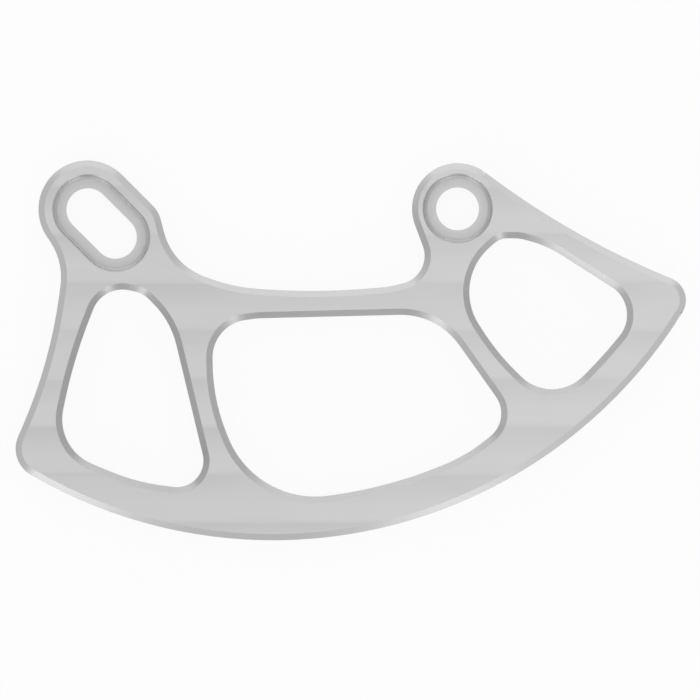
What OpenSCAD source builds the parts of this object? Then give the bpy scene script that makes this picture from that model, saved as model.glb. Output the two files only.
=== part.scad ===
// Half-moon chainring guard, milled from one plate of aluminium.
// Sizes are millimetres. The plate lies on its back face, with the axis of the round bolt hole
// at the origin. Its outline is drawn about the crank axis and then moved there.

/* [Plate] */
// Thickness of the plate
plate_t = 6; // [5:0.5:10]
// Chamfer along the outline and the windows on the front face
chamfer = 0.95; // [0.3:0.05:1.3]
// Chamfer along the outline and the windows on the back face
back_chamfer = 0.5; // [0.2:0.05:1]
// Radius of the outer rim about the crank axis
guard_r = 73.9; // [72:0.1:80]
// Width of the rim outside the left and right windows
rim_w = 5.8; // [4.5:0.1:8]
// Width of the rim outside the middle window
mid_rim_w = 6.3; // [4.5:0.1:8]

/* [Mounting] */
// Distance from the crank axis to the bolt hole and to the middle of the slot
mount_r = 36.5; // [36:0.1:37.5]
// Direction of the bolt hole from the crank axis
hole_a = -39.1; // [-41:0.1:-37]
// Direction of the slot from the crank axis
slot_a = -136.2; // [-138:0.1:-135]
// Direction that the slot runs in
slot_run_a = -45; // [-50:0.5:-40]
// Diameter of the bolt hole and width of the slot
bolt_d = 6.6; // [5:0.1:7]
// Travel of the bolt along the slot
slot_travel = 6; // [3:0.1:7]
// Diameter of the recess for a bolt head
head_d = 10.5; // [9:0.1:11.8]
// Depth of the recess for a bolt head
head_depth = 3; // [1.5:0.1:4]
// Corner radius at the floor of the recess
head_fillet = 0.8; // [0.2:0.1:1]
// Small chamfer around the mouth of the recess
head_break = 0.15; // [0.1:0.05:0.4]

/* [Bosses] */
// Radius of the boss around the bolt hole
boss_r = 7; // [6.6:0.1:8]
// Half width of the boss around the slot
lobe_r = 7.5; // [7:0.1:8.5]
// Radius of the lower corner of the slot's boss
lobe_corner_r = 4.8; // [4:0.1:6]

/* [Outline] */
// Radius of the right tip
right_tip_r = 3.6; // [3:0.1:5]
// Direction of the right tip from the crank axis
right_tip_a = -31.8; // [-34:0.1:-29]
// Radius of the left tip
left_tip_r = 4.7; // [3.5:0.1:6]
// Direction of the left tip from the crank axis
left_tip_a = -120.2; // [-122:0.1:-119]
// Radius of the hollow between the bolt hole's boss and the bridge
right_neck_r = 4.3; // [3.8:0.1:5]
// Radius of the hollow between the slot's boss and the bridge
left_neck_r = 9.9; // [9:0.1:11]
// Radius of the hollow between the slot's boss and the left flank
flank_neck_r = 9.8; // [8:0.1:12]
// Distance from the crank axis down to the bridge between the bosses
bridge_y = 35.6; // [35:0.1:36.2]

/* [Windows] */
// Width of the bridge above the right end of the middle window
bridge_w = 3.7; // [3.2:0.1:5]
// Distance from the middle of the slot to the left window
slot_web = 11; // [10:0.1:12]
// Distance from the axis of the bolt hole to the right window
hole_web = 7.7; // [7:0.1:9]
// Radius of the inner top corner of the left window
left_top_r = 4.1; // [3.5:0.1:5]
// Radius of the outer corner of the left window
left_outer_r = 7.4; // [6:0.1:9]
// Radius of the inner corner of the left window
left_inner_r = 4.1; // [3.5:0.1:5]
// Radius of the top right corner of the middle window
mid_top_r = 11; // [9:0.1:13]
// Radius of the top left corner of the middle window
mid_left_r = 5.8; // [5:0.1:7]
// Radius of the lower left corner of the middle window
mid_low_r = 14.4; // [12:0.1:16]
// Radius of the right corner of the middle window
mid_right_r = 4.5; // [3.5:0.1:6]
// Radius of the left end of the right window
right_end_r = 9.1; // [8:0.1:10]
// Radius of the lower corner of the right window
right_low_r = 6.7; // [5:0.1:8]
// Radius of the tip corner of the right window
right_outer_r = 5.1; // [4:0.1:6]

/* [Hidden] */
$fn = 96;
// Length of the short flat between two arcs that run into each other
lead = 1;
// How far the arcs stand out past the flats, so that their surfaces cross cleanly
skin = 0.002;
// How far a cutter or an edge runs past the faces
lap = 0.5;
// How far an arc and a flat run on under each other, as a multiple of the way to their crossing
run_past = 4 / 3;
// Largest share of a convex arc's radius that its edge band takes up
arc_share = 0.9;
// The core keeps behind the chamfers, the edge bands reach into it, and the arcs' a little deeper
core_gap = 0.4;
core_in = max(chamfer, back_chamfer) + core_gap;
band_lap = 1;
band = core_in + band_lap;
arc_band_lap = 1.7;
arc_band = core_in + arc_band_lap;
// Largest step along the core's arcs, and how far its sides may cut across them
core_step = 12;
core_sag = 0.1;

// Blends of the outer outline: their radii, and where the edge faces as they take over
right_flank_r = 126.5;
left_flank_r = 76.3;
bridge_r = 105.5;
right_ease_r = 14.3;
right_ease_a = 104.7;
left_ease_r = 26.3;
left_ease_a = 69.7;
// The slot's boss: how far its two arcs are centred beyond the ends of the slot
lobe_over = 0.05;
lobe_corner_over = 0.6;
// The necks beside the bosses: how high they lie over the bridge, their flats and their direction
right_neck_rise = 1.05;
left_neck_rise = 1.6;
right_neck_flat = 3.5;
left_neck_flat = 1.85;
flank_neck_a = -143;

// Corners of the windows at the rim: their directions from the crank axis, and two more radii
left_outer_a = -114.3;
left_low_a = -110.5;
left_low_r = 31.9;
mid_low_left_a = -83;
mid_low_right_a = -66.7;
mid_low_right_r = 25.1;
right_low_a = -45.8;
right_outer_a = -38.6;
// Left window: direction of its top from the slot, and the blends on both sides of it
left_top_a = -73.4;
left_top_corner_r = 4.8;
left_top_corner_a = 78.4;
left_inner_side_r = 13.4;
left_inner_side_a = 45.2;
left_inner_a = -96.4;
left_outer_side_r = 80;
// Middle window: places of its top corners, how much lower the left one lies, and the blends
mid_top_x = 19.6;
mid_left_x = -3.5;
mid_left_drop = 0.75;
mid_top_side_r = 14;
mid_top_side_a = 98.3;
mid_left_side_r = 29.2;
mid_right_a = -51.1;
// Right window: direction of its end from the bolt hole, and the blends over and under it
right_end_a = -49.6;
right_corner_r = 3;
right_corner_a = 131;
right_top_r = 7;
right_top_a = 90;
right_long_r = 16.4;
right_long_a = 74.1;
right_under_r = 36.3;

function polar(d, a) = [d * cos(a), d * sin(a)];
function xy(p) = [p.x, p.y];

// An outline is a belt around round pulleys, walked anticlockwise. A pulley is [x, y, radius].
// The belt is convex around a positive radius and hollow around a negative one.
function pulley(c, r) = [c.x, c.y, r];
// Pulley that touches a circle of radius big about the crank axis from inside
function inside(big, a, r) = pulley(polar(norm([big - r, lead]), a), r);
// Pulleys of radius r that take over from p, or lead into p, where the edge faces direction a
function after(p, a, r) = pulley(xy(p) + polar(p.z - r, a) + polar(lead, a + 90), r);
function before(p, a, r) = pulley(xy(p) + polar(p.z - r, a) - polar(lead, a + 90), r);
// Pulley of radius r that joins p and q smoothly
function between(p, q, r) =
    let (d = xy(q) - xy(p), m = norm([p.z - r, lead]), n = norm([q.z - r, lead]),
         along = (d * d + m * m - n * n) / 2 / norm(d), across = sqrt(m * m - along * along),
         u = d / norm(d))
    pulley(xy(p) + along * u + sign(r) * across * [-u.y, u.x], r);
// Hollow of radius r beside p, to its left or right, whose lowest point is at height y
function hollow(p, side, y, r, flat) =
    let (rise = y + r - p.y, reach = norm([p.z + r, flat]))
    pulley([p.x + side * sqrt(reach * reach - rise * rise), y + r], -r);

// Flat from pulley p to pulley q, as [the direction it faces, its length]
function flat(p, q) =
    let (d = xy(q) - xy(p), k = p.z - q.z, len = sqrt(d * d - k * k))
    [atan2(k * d.y - len * d.x, len * d.y + k * d.x), len];
function flats(belt) = [for (i = [0:len(belt) - 1]) flat(belt[i], belt[(i + 1) % len(belt)])];
// Direction that the edge faces where it reaches pulley i, and the angle it turns through there
function start_a(f, i) = f[(i + len(f) - 1) % len(f)][0];
function turn_a(belt, f, i) =
    let (t = f[i][0] - start_a(f, i))
    belt[i].z > 0 ? (t % 360 + 360) % 360 : -((-t % 360 + 360) % 360);
// How far an arc of radius r and a flat run on under each other
function run_on(r) = run_past * sqrt(2 * abs(r) * skin);
// Corners that the core takes along an arc of radius r that turns through an angle
function core_steps(r, turn) =
    ceil(abs(turn) / min(core_step, 2 * acos(max(1 - core_sag / abs(r), 0))));

// Section of an edge: x points out of the outline, y up. The chamfers run on past both faces,
// inward where flare is -1, as on the plate, and outward where it is 1, as on a cutter.
module edge(depth, flare)
    polygon([[-depth, -lap], [flare * (back_chamfer + lap), -lap], [0, back_chamfer],
             [0, plate_t - chamfer], [flare * (chamfer + lap), plate_t + lap],
             [-depth, plate_t + lap]]);

// The edge section carried around one pulley. A convex arc runs on under its flats.
module arc_edge(p, start, turn, flare)
    translate([p.x, p.y, 0])
        if (p.z > 0) {
            more = run_on(p.z) / p.z * 180 / PI;
            rotate_extrude(angle = turn + 2 * more, start = start - more)
                translate([p.z + skin, 0])
                    edge(min(arc_band, arc_share * p.z), flare);
        } else {
            rotate_extrude(angle = -turn, start = start + turn + 180)
                translate([skin - p.z, 0])
                    mirror([1, 0])
                        edge(arc_band, flare);
        }

// The edge section carried along one flat. It runs on under the hollow arcs at its ends.
module flat_edge(p, q, f, flare) {
    run_p = p.z < 0 ? run_on(p.z) : 0;
    run_q = q.z < 0 ? run_on(q.z) : 0;
    end = xy(q) + polar(q.z, f[0]) + polar(run_q, f[0] + 90);
    translate([end.x, end.y, 0])
        rotate([90, 0, f[0]])
            linear_extrude(f[1] + run_p + run_q)
                edge(band, flare);
}

// Solid inside a belt, standing past both faces of the plate
module belt_solid(belt, flare) {
    f = flats(belt);
    n = len(belt);
    for (i = [0:n - 1]) {
        arc_edge(belt[i], start_a(f, i), turn_a(belt, f, i), flare);
        flat_edge(belt[i], belt[(i + 1) % n], f[i], flare);
    }
    core = [for (i = [0:n - 1])
        let (turn = turn_a(belt, f, i), steps = core_steps(belt[i].z, turn),
             r = belt[i].z < 0 ? belt[i].z - core_in : max(belt[i].z - core_in, 0))
        for (j = [0.5:steps]) xy(belt[i]) + polar(r, start_a(f, i) + turn * j / steps)];
    translate([0, 0, -lap])
        linear_extrude(plate_t + 2 * lap)
            polygon(core);
}

// Centres of the two mounting points
hole_c = polar(mount_r, hole_a);
slot_c = polar(mount_r, slot_a);

// Outer outline, from the right tip over the bosses and the bridge to the left tip and the rim
boss = pulley(hole_c, boss_r);
lobe_corner = pulley(slot_c + polar(slot_travel / 2 + lobe_corner_over, slot_run_a)
                     + polar(lobe_r - lobe_corner_r, slot_run_a + 90), lobe_corner_r);
lobe = pulley(slot_c - polar(slot_travel / 2 + lobe_over, slot_run_a), lobe_r);
right_tip = inside(guard_r, right_tip_a, right_tip_r);
left_tip = inside(guard_r, left_tip_a, left_tip_r);
right_neck = hollow(boss, -1, right_neck_rise - bridge_y, right_neck_r, right_neck_flat);
left_neck = hollow(lobe_corner, 1, left_neck_rise - bridge_y, left_neck_r, left_neck_flat);
flank_neck = pulley(xy(lobe) + polar(norm([lobe_r + flank_neck_r, lead]), flank_neck_a),
                    -flank_neck_r);
right_ease = after(right_neck, right_ease_a, -right_ease_r);
left_ease = before(left_neck, left_ease_a, -left_ease_r);
outline = [
    right_tip,
    between(right_tip, boss, -right_flank_r),
    boss,
    right_neck,
    right_ease,
    between(right_ease, left_ease, -bridge_r),
    left_ease,
    left_neck,
    lobe_corner,
    lobe,
    flank_neck,
    between(flank_neck, left_tip, -left_flank_r),
    left_tip,
    pulley([0, 0], guard_r),
];

// Left window, from its inner corner over its top to the rim
side_r = guard_r - rim_w;
left_low = inside(side_r, left_low_a, left_low_r);
left_top = pulley(slot_c + polar(slot_web + left_top_r, left_top_a), left_top_r);
left_top_corner = after(left_top, left_top_corner_a, left_top_corner_r);
left_outer = inside(side_r, left_outer_a, left_outer_r);
left_window = [
    after(left_low, left_inner_a, left_inner_r),
    before(left_top, left_inner_side_a, left_inner_side_r),
    left_top,
    left_top_corner,
    between(left_top_corner, left_outer, left_outer_side_r),
    left_outer,
    pulley([0, 0], side_r),
    left_low,
];

// Middle window, from its right corner over its top to the rim
mid_r = guard_r - mid_rim_w;
mid_top_y = -bridge_y - bridge_w;
mid_low_right = inside(mid_r, mid_low_right_a, mid_low_right_r);
mid_low_left = inside(mid_r, mid_low_left_a, mid_low_r);
mid_left = pulley([mid_left_x, mid_top_y - mid_left_drop - mid_left_r], mid_left_r);
mid_window = [
    after(mid_low_right, mid_right_a, mid_right_r),
    pulley([mid_top_x, mid_top_y - mid_top_r], mid_top_r),
    before(mid_left, mid_top_side_a, mid_top_side_r),
    mid_left,
    between(mid_left, mid_low_left, mid_left_side_r),
    mid_low_left,
    pulley([0, 0], mid_r),
    mid_low_right,
];

// Right window, from its tip corner over its left end to the rim
right_low = inside(side_r, right_low_a, right_low_r);
right_end = pulley(hole_c + polar(hole_web + right_end_r, right_end_a), right_end_r);
right_corner = before(right_end, right_corner_a, right_corner_r);
right_top = before(right_corner, right_top_a, right_top_r);
right_window = [
    inside(side_r, right_outer_a, right_outer_r),
    before(right_top, right_long_a, right_long_r),
    right_top,
    right_corner,
    right_end,
    between(right_end, right_low, right_under_r),
    right_low,
    pulley([0, 0], side_r),
];

// Section of a bolt hole with its recess for the bolt head, from its axis outward
module bolt_section() {
    r = head_d / 2;
    floor_z = plate_t - head_depth;
    translate([0, -lap])
        square([bolt_d / 2, plate_t]);
    difference() {
        polygon([[0, floor_z], [r, floor_z], [r, plate_t - head_break],
                 [r + head_break + lap, plate_t + lap], [0, plate_t + lap]]);
        difference() {
            translate([r - head_fillet, floor_z - lap])
                square([head_fillet + lap, head_fillet + lap]);
            translate([r - head_fillet, floor_z + head_fillet])
                circle(head_fillet);
        }
    }
}

// Cutter for the round bolt hole
module hole_cutter()
    rotate_extrude()
        bolt_section();

// Cutter for the slot: the same section around both ends and along the middle
module slot_cutter() {
    for (end = [-1, 1])
        translate([end * slot_travel / 2, 0, 0])
            rotate_extrude(angle = 180, start = -90 * end)
                bolt_section();
    translate([-slot_travel / 2, 0, 0])
        rotate([90, 0, 90])
            linear_extrude(slot_travel)
                for (side = [0, 1])
                    mirror([side, 0])
                        bolt_section();
}

module guard_plate()
    color("silver")
        translate([-hole_c.x, -hole_c.y, 0])
            difference() {
                intersection() {
                    belt_solid(outline, flare = -1);
                    cylinder(r = guard_r + lap, h = plate_t);
                }
                for (window = [left_window, mid_window, right_window])
                    belt_solid(window, flare = 1);
                translate([hole_c.x, hole_c.y, 0])
                    hole_cutter();
                translate([slot_c.x, slot_c.y, 0])
                    rotate([0, 0, slot_run_a])
                        slot_cutter();
            }

guard_plate();
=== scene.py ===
"""Studio scene for a half-moon chainring guard milled from aluminium plate, lying face up."""

import math
from types import SimpleNamespace

import bpy
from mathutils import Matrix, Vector


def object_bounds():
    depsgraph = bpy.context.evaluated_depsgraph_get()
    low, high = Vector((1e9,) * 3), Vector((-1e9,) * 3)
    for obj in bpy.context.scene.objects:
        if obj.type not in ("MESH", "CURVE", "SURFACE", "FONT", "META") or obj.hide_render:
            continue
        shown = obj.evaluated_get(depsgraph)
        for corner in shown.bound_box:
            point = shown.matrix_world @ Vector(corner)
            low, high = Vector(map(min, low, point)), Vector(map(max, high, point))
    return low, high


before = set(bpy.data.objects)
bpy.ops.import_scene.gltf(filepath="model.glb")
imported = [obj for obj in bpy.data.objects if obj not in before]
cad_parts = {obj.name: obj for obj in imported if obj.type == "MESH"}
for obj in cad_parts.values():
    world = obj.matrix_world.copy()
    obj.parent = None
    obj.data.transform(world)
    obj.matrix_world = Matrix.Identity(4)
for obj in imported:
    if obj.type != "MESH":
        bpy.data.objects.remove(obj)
cad_low, cad_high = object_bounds()
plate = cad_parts["guard_plate"]

MM = 0.001
WHITE = (1, 1, 1, 1)

# The photograph's frame on the plate's front face
VIEW_WIDTH = 107.38 * MM
VIEW_CENTRE = (-16.52 * MM, -21.68 * MM)
CAMERA_DISTANCE = 3.0
SENSOR = 36.0

# Places on the plate that the tool marks follow. The round hole's middle is the origin
SLOT_CENTRE = (-54.67 * MM, -2.24 * MM)
SLOT_DIRECTION = math.radians(-45.0)
SLOT_HALF_TRAVEL = 3.0 * MM
RECESS_R = 5.25 * MM
BOLT_R = 3.3 * MM

# Where a recess's marks fade in or out, as distances from its axis at the wall and at the bore,
# and as depths below the plate's face
WALL_FADE = (RECESS_R + 0.25 * MM, RECESS_R + 0.15 * MM)
BORE_FADE = (BOLT_R + 0.05 * MM, BOLT_R + 0.1 * MM)
DEPTH_FADE = (0.05 * MM, 0.3 * MM)

# A surface is told by how far it faces straight up or down: 1 is level and 0 is upright
LEVEL = (0.9, 0.985)
UPRIGHT = (0.4, 0.1)
ROUNDED = (0.9, 0.62)

# Passes of the face mill: their pitch, and the Y of one boundary between two passes
PASS_PITCH = 7.35 * MM
PASS_EDGE = -4.2 * MM
CUTTER_R = 5.2 * MM        # bends the arcs of its cusps
PASS_SPAN = 1.4            # width of a pass in cutter radii
ROW_STEP = 0.37            # distance in the noise between two passes

# Tones across a pass, and the shares of its width where its edges end and begin
UPPER_TONE = -0.075
BODY_TONE = 0.02
LOWER_TONE = -0.07
UPPER_END = 0.6
LOWER_START = 0.9

# A slow noise along each pass makes its tones fainter or stronger
WANDER = (0.35, 0.6)
FAINTEST = 0.3
STRONGEST = 1.05

# The metal's tone, and how far each kind of mark, painted light and painted shade moves it
BASE_TONE = 0.585
PASS_DEPTH = 0.62
OWN_DEPTH = 0.012
PATCH_DEPTH = 0.035
STREAK_DEPTH = 0.03
# The sides' tool lines, all raised as painted light so the walls that the window chamfers mirror are
# brighter
SIDE_LINES_AND_PAINTED_LIGHT = (0.035, 0.125)          # at the darkest and the brightest line on the sides
# Painted sheen: the plate darker towards the left
PAINTED_SHEEN_LEFT_TO_RIGHT = (-0.03, 0.005)      # at FADE_FROM_X and at FADE_TO_X
FADE_FROM_X = -60 * MM
FADE_TO_X = 40 * MM
# Painted light that brightens a recess's rounded corner and the wall above it
CORNER_PAINTED_LIGHT = 0.29
# Painted shade that darkens a recess floor towards its corner, between the two distances from its axis
# below
RECESS_SHADE_DROP = 0.035
RECESS_SHADE_FROM_R = 3.6 * MM
RECESS_SHADE_TO_R = 4.8 * MM
BLUE_CAST = 1.003

# Its roughness, and the depth of its tool marks
EDGE_ROUGH = 0.36
FACE_ROUGH = 0.42
RECESS_ROUGH = 0.45
PATCH_ROUGH = 0.08
GRAIN_ROUGH = 0.04
MARK_SHARE = 0.7
GRAIN_SHARE = 0.3
BUMP_STRENGTH = 0.25
BUMP_DEPTH = 0.004 * MM

WELD = 0.002 * MM          # slivers thinner than this are closed up, because they shade dark
SHARP = math.radians(28)   # edges that turn more than this stay crisp

FLOOR_REACH = 8.0          # from the origin to each side
FLOOR_GAP = 0.02 * MM
FLOOR_TONE = 0.95
FLOOR_WHITE = 0.9          # share of its look that is plain white; the rest takes light and shadow

# The world turns from wall to ceiling as a ray's Z goes from the first number to the second, and
# to the wall below the picture as its Y does
CEILING = (0.2, 0.9)
NEAR_WALL = (-0.7, -1.0)


# Small helpers for shader nodes

class Nodes:
    """Adds nodes to one tree. Inputs are values or sockets of earlier nodes."""

    def __init__(self, tree):
        self.tree = tree

    def add(self, kind, inputs=None, **settings):
        node = self.tree.nodes.new(kind)
        for name, value in settings.items():
            setattr(node, name, value)
        for name, value in (inputs or {}).items():
            if isinstance(value, bpy.types.NodeSocket):
                self.tree.links.new(value, node.inputs[name])
            else:
                node.inputs[name].default_value = value
        return node

    def math(self, operation, a, b=0.0):
        return self.add("ShaderNodeMath", {0: a, 1: b}, operation=operation).outputs[0]

    def plus(self, a, b):
        return self.math("ADD", a, b)

    def minus(self, a, b):
        return self.math("SUBTRACT", a, b)

    def times(self, a, b):
        return self.math("MULTIPLY", a, b)

    def length(self, a, b):
        return self.math("SQRT", self.plus(self.times(a, a), self.times(b, b)))

    def sway(self, value, amount):
        """How far value lies above or below a half, times amount."""
        return self.times(self.minus(value, 0.5), amount)

    def ramp(self, value, low, high, to_low=0.0, to_high=1.0, smooth=True):
        """value from low..high mapped to to_low..to_high, held at both ends."""
        node = self.add("ShaderNodeMapRange",
                        {"Value": value, "From Min": low, "From Max": high,
                         "To Min": to_low, "To Max": to_high},
                        interpolation_type="SMOOTHSTEP" if smooth else "LINEAR")
        return node.outputs["Result"]

    def mix(self, share, a, b):
        node = self.add("ShaderNodeMix", {0: share, 2: a, 3: b}, data_type="FLOAT")
        return node.outputs[0]

    def vector(self, x, y=0.0):
        return self.add("ShaderNodeCombineXYZ", {"X": x, "Y": y}).outputs[0]

    def axes(self, vector):
        outputs = self.add("ShaderNodeSeparateXYZ", {0: vector}).outputs
        return outputs["X"], outputs["Y"], outputs["Z"]

    def noise(self, where, per_metre, detail, roughness, density=None):
        """Cloudy noise with per_metre cells in a metre, times density along each axis."""
        if density:
            denser = self.add("ShaderNodeVectorMath", {0: where, 1: density}, operation="MULTIPLY")
            where = denser.outputs[0]
        node = self.add("ShaderNodeTexNoise",
                        {"Vector": where, "Scale": per_metre, "Detail": detail, "Roughness": roughness})
        return node.outputs["Fac"]


def new_material(name):
    material = bpy.data.materials.new(name)
    material.use_nodes = True
    material.node_tree.nodes.clear()
    return material, Nodes(material.node_tree)


# The plate's material

def distance_to_slot(n, x, y):
    """Distance from the slot's middle line, which ends at both bolt positions."""
    dx = n.minus(x, SLOT_CENTRE[0])
    dy = n.minus(y, SLOT_CENTRE[1])
    cos, sin = math.cos(SLOT_DIRECTION), math.sin(SLOT_DIRECTION)
    along = n.plus(n.times(dx, cos), n.times(dy, sin))
    across = n.minus(n.times(dy, cos), n.times(dx, sin))
    past = n.math("MAXIMUM", n.minus(n.math("ABSOLUTE", along), SLOT_HALF_TRAVEL), 0.0)
    return n.length(past, across)


def read_surface(n, x, y, z):
    """Tells the plate's kinds of surface apart, each as a share from 0 to 1. to_axis is the
    distance from the round hole's middle or the slot's middle line, whichever is nearer."""
    normal = n.add("ShaderNodeNewGeometry").outputs["Normal"]
    facing = n.math("ABSOLUTE", n.axes(normal)[2])
    level = n.ramp(facing, *LEVEL)
    to_axis = n.math("MINIMUM", n.length(x, y), distance_to_slot(n, x, y))
    near = n.times(n.ramp(to_axis, *WALL_FADE), n.ramp(to_axis, *BORE_FADE))
    low = n.ramp(z, cad_high.z - DEPTH_FADE[0], cad_high.z - DEPTH_FADE[1])
    recess = n.times(near, low)
    outside = n.minus(1.0, recess)
    return SimpleNamespace(
        to_axis=to_axis, level=level, recess=recess,
        face=n.times(level, outside),
        side=n.times(n.ramp(facing, *UPRIGHT), outside),
        recess_floor=n.times(recess, level),
        recess_corner=n.times(recess, n.ramp(facing, *ROUNDED)))


def pass_marks(n, x, y):
    """The face mill's passes. Each is darker towards both of its edges, over a longer way at the
    upper one, and fine cusps follow the cutter's arc, which steps along X."""
    down = n.math("DIVIDE", n.minus(PASS_EDGE, y), PASS_PITCH)
    share = n.math("FRACT", down)
    number = n.math("FLOOR", down)
    row = n.times(number, ROW_STEP)

    upper = n.ramp(share, 0.0, UPPER_END, UPPER_TONE, BODY_TONE, smooth=False)
    lower = n.ramp(share, LOWER_START, 1.0, 0.0, LOWER_TONE)
    wander = n.noise(n.vector(x, row), per_metre=38.0, detail=1.0, roughness=0.5)
    tone = n.times(n.plus(upper, lower), n.ramp(wander, *WANDER, FAINTEST, STRONGEST))
    own = n.add("ShaderNodeTexWhiteNoise", {"W": number}, noise_dimensions="1D").outputs["Value"]
    tone = n.plus(tone, n.sway(own, OWN_DEPTH))

    across = n.sway(share, PASS_SPAN)
    arc = n.math("SQRT", n.math("MAXIMUM", n.minus(1.0, n.times(across, across)), 0.0))
    feed = n.plus(x, n.times(arc, CUTTER_R))
    cusps = n.noise(n.vector(feed, row), per_metre=4200.0, detail=3.0, roughness=0.6)
    return tone, cusps


def metal_colour(n, x, surface, pass_tone, patches, streaks, lines):
    """A pale grey. Painted shade darkens a recess floor towards its corner, and painted light
    brightens the corner and the wall above it. Painted sheen darkens the plate towards the left,
    and painted light raises the sides."""
    tone = n.plus(BASE_TONE, n.times(surface.face, n.times(pass_tone, PASS_DEPTH)))
    tone = n.plus(tone, n.sway(patches, PATCH_DEPTH))
    tone = n.plus(tone, n.times(surface.face, n.sway(streaks, STREAK_DEPTH)))
    # tool lines on the sides, raised as painted light
    tone = n.plus(tone, n.times(surface.side, n.ramp(lines, 0.0, 1.0, *SIDE_LINES_AND_PAINTED_LIGHT, smooth=False)))
    # painted sheen, darker towards the left
    tone = n.plus(tone, n.ramp(x, FADE_FROM_X, FADE_TO_X, *PAINTED_SHEEN_LEFT_TO_RIGHT))
    # painted shade on a recess floor towards its corner
    floor_shade = n.times(surface.recess_floor, n.ramp(surface.to_axis, RECESS_SHADE_FROM_R, RECESS_SHADE_TO_R, smooth=False))
    # painted light on a recess's corner and the wall above it, less the painted shade on its floor
    tone = n.plus(tone, n.minus(n.times(surface.recess_corner, CORNER_PAINTED_LIGHT), n.times(floor_shade, RECESS_SHADE_DROP)))
    blue = n.times(tone, BLUE_CAST)
    return n.add("ShaderNodeCombineColor", {0: tone, 1: tone, 2: blue}).outputs[0]


def metal_roughness(n, surface, patches, grain):
    """Chamfers and sides are the smoothest, and the recesses the dullest."""
    rough = n.mix(surface.level, EDGE_ROUGH, FACE_ROUGH)
    rough = n.mix(surface.recess, rough, RECESS_ROUGH)
    rough = n.plus(rough, n.sway(patches, PATCH_ROUGH))
    return n.plus(rough, n.sway(grain, GRAIN_ROUGH))


def tool_marks(n, surface, cusps, rings, lines, grain):
    """A shallow bump: cusps on the face, rings in the recesses, lines on the sides, and grain."""
    marks = n.mix(surface.recess, n.times(surface.face, cusps), n.times(surface.level, rings))
    marks = n.mix(surface.side, marks, lines)
    height = n.plus(n.times(marks, MARK_SHARE), n.times(grain, GRAIN_SHARE))
    bump = n.add("ShaderNodeBump",
                 {"Strength": BUMP_STRENGTH, "Distance": BUMP_DEPTH, "Height": height})
    return bump.outputs["Normal"]


def milled_aluminium():
    """Face-milled in level passes, with turned recess floors, smooth chamfers and lined sides."""
    material, n = new_material("milled_aluminium")
    place = n.add("ShaderNodeTexCoord").outputs["Object"]
    x, y, z = n.axes(place)
    surface = read_surface(n, x, y, z)
    pass_tone, cusps = pass_marks(n, x, y)

    patches = n.noise(place, per_metre=46.0, detail=3.0, roughness=0.55, density=(1.0, 1.7, 1.0))
    streaks = n.noise(place, per_metre=900.0, detail=3.0, roughness=0.6, density=(0.12, 1.0, 1.0))
    rings = n.noise(n.vector(surface.to_axis), per_metre=5200.0, detail=2.0, roughness=0.6)
    lines = n.noise(place, per_metre=1500.0, detail=2.0, roughness=0.6, density=(1.0, 1.0, 0.04))
    grain = n.noise(place, per_metre=5200.0, detail=2.0, roughness=0.6)

    shader = n.add("ShaderNodeBsdfPrincipled",
                   {"Base Color": metal_colour(n, x, surface, pass_tone, patches, streaks, lines),
                    "Metallic": 1.0,
                    "Roughness": metal_roughness(n, surface, patches, grain),
                    "Normal": tool_marks(n, surface, cusps, rings, lines, grain)})
    n.add("ShaderNodeOutputMaterial", {"Surface": shader.outputs[0]})
    return material


def dress_plate():
    """Gives the plate its material, and shading that is smooth on arcs and crisp at the edges."""
    plate.data.materials.clear()
    plate.data.materials.append(milled_aluminium())
    plate.modifiers.new("close_slivers", "WELD").merge_threshold = WELD
    plate.modifiers.new("crisp_edges", "EDGE_SPLIT").split_angle = SHARP
    plate.modifiers.new("even_shading", "WEIGHTED_NORMAL").keep_sharp = True


# The studio

def pale_floor():
    """Mostly plain white to the camera and in reflections, and a pale matt surface otherwise."""
    material, n = new_material("pale_floor")
    rays = n.add("ShaderNodeLightPath").outputs
    seen = n.math("MAXIMUM", rays["Is Camera Ray"],
                  n.math("MAXIMUM", rays["Is Glossy Ray"], rays["Is Transmission Ray"]))
    white = n.add("ShaderNodeEmission", {"Color": WHITE, "Strength": 1.0})
    lit = n.add("ShaderNodeBsdfDiffuse", {"Color": (FLOOR_TONE, FLOOR_TONE, FLOOR_TONE, 1)})
    both = n.add("ShaderNodeMixShader",
                 {0: n.times(seen, FLOOR_WHITE), 1: lit.outputs[0], 2: white.outputs[0]})
    n.add("ShaderNodeOutputMaterial", {"Surface": both.outputs[0]})
    return material


def add_floor():
    """A wide floor just under the plate. It keeps part of the plate's shadow."""
    reach, z = FLOOR_REACH, cad_low.z - FLOOR_GAP
    mesh = bpy.data.meshes.new("floor")
    corners = [(-reach, -reach, z), (reach, -reach, z), (reach, reach, z), (-reach, reach, z)]
    mesh.from_pydata(corners, [], [(0, 1, 2, 3)])
    mesh.materials.append(pale_floor())
    floor = bpy.data.objects.new("floor", mesh)
    bpy.context.scene.collection.objects.link(floor)


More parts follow.
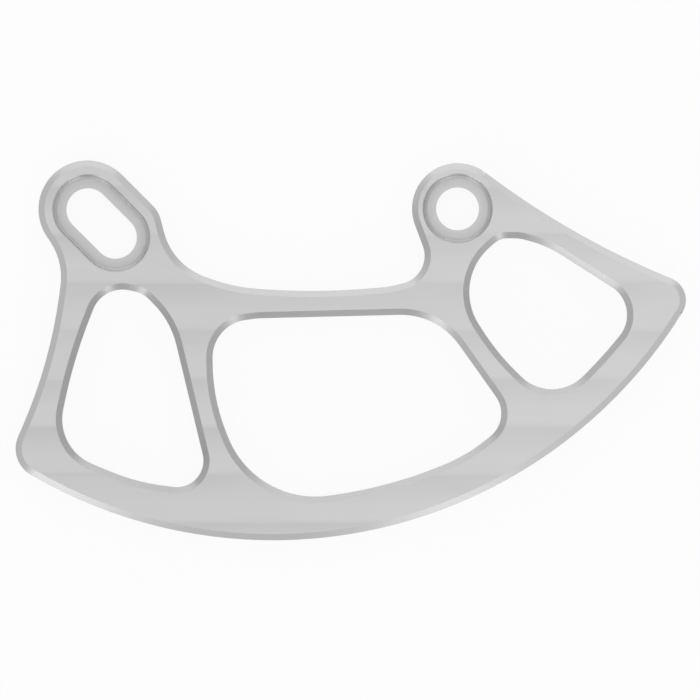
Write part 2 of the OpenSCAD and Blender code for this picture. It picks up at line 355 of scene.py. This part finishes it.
def add_world(horizon, zenith, near_wall):
    """Pale walls around the plate, as bright as horizon low down and as zenith straight up. The
    wall below the picture is darker than the others by near_wall."""
    world = bpy.data.worlds.new("studio")
    world.use_nodes = True
    world.node_tree.nodes.clear()
    n = Nodes(world.node_tree)
    _, y, z = n.axes(n.add("ShaderNodeTexCoord").outputs["Generated"])
    level = n.minus(n.ramp(z, *CEILING, horizon, zenith), n.ramp(y, *NEAR_WALL, 0.0, near_wall))
    background = n.add("ShaderNodeBackground", {"Color": WHITE, "Strength": level})
    n.add("ShaderNodeOutputWorld", {"Surface": background.outputs[0]})
    bpy.context.scene.world = world


def add_panel(name, turn, height, distance, size, radiance):
    """A soft panel that faces the plate. turn is its direction from image-up, clockwise, and
    height its angle above the floor, both in degrees. radiance 1 shows as white in a mirror."""
    centre = Vector((*VIEW_CENTRE, cad_high.z))
    around, up = math.radians(turn), math.radians(height)
    away = Vector((math.sin(around) * math.cos(up), math.cos(around) * math.cos(up), math.sin(up)))
    light = bpy.data.lights.new(name, "AREA")
    light.shape = "RECTANGLE"
    light.size, light.size_y = size
    light.energy = radiance * math.pi * size[0] * size[1]
    lamp = bpy.data.objects.new(name, light)
    lamp.location = centre + away * distance
    lamp.rotation_euler = (-away).to_track_quat("-Z", "Y").to_euler()
    lamp.visible_camera = False
    bpy.context.scene.collection.objects.link(lamp)


def add_lights():
    """The two lower panels make the glints on the rim's lower chamfer."""
    add_world(horizon=0.7, zenith=0.5, near_wall=0.2)
    add_panel("overhead", turn=0, height=90, distance=1.2, size=(1.7, 1.7), radiance=0.65)
    add_panel("lower_left", turn=209, height=16, distance=0.8, size=(0.2, 0.45), radiance=2.35)
    add_panel("lower_right", turn=158, height=16, distance=0.8, size=(0.18, 0.45), radiance=2.1)
    add_panel("upper", turn=-1, height=15, distance=1.0, size=(1.6, 0.4), radiance=1.04)


def add_camera():
    data = bpy.data.cameras.new("camera")
    data.sensor_width = SENSOR
    data.lens = SENSOR * CAMERA_DISTANCE / VIEW_WIDTH
    data.clip_start, data.clip_end = 0.1, 20.0
    camera = bpy.data.objects.new("camera", data)
    camera.location = (*VIEW_CENTRE, cad_high.z + CAMERA_DISTANCE)
    bpy.context.scene.collection.objects.link(camera)
    bpy.context.scene.camera = camera


add_camera()
dress_plate()
add_floor()
add_lights()
bpy.context.scene.view_settings.view_transform = "Standard"
